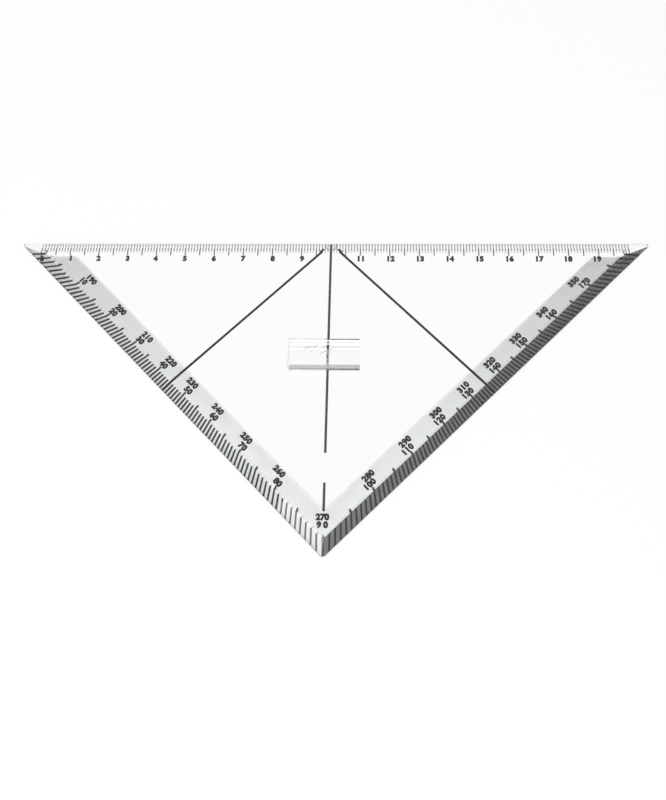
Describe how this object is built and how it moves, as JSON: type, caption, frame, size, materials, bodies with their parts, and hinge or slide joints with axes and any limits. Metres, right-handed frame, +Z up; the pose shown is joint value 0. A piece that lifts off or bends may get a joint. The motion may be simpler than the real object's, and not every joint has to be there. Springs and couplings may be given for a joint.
{
  "type": "navigation triangle",
  "caption": "Clear acrylic right-angled plotting triangle with bevelled edges, a ruler on its long edge, a degree scale on its legs and a cemented block grip.",
  "frame": {"origin": "centre of the outline's box at the underside, on the face that lies on the chart", "axes": "+X along the long edge, from its zero mark's end to its twenty's end; +Y square to the long edge, from the right-angled apex towards it; +Z up out of the face that carries the grip"},
  "size_m": [0.2134, 0.107, 0.0082],
  "materials": {
    "clear_acrylic": "polished",
    "grip_acrylic": "polished",
    "clear_cement": "satin",
    "black_ink": "satin",
    "grey_ink": "satin",
    "grey_tint": "satin"
  },
  "bodies": {
    "root": {"plate": "clear_acrylic", "grip": "grip_acrylic", "grip_cement": "clear_cement", "centre_line_upper": "grey_ink", "centre_line_lower": "grey_ink", "left_course_line": "black_ink", "right_course_line": "black_ink", "tint_band": "grey_tint"}
  },
  "joints": []
}
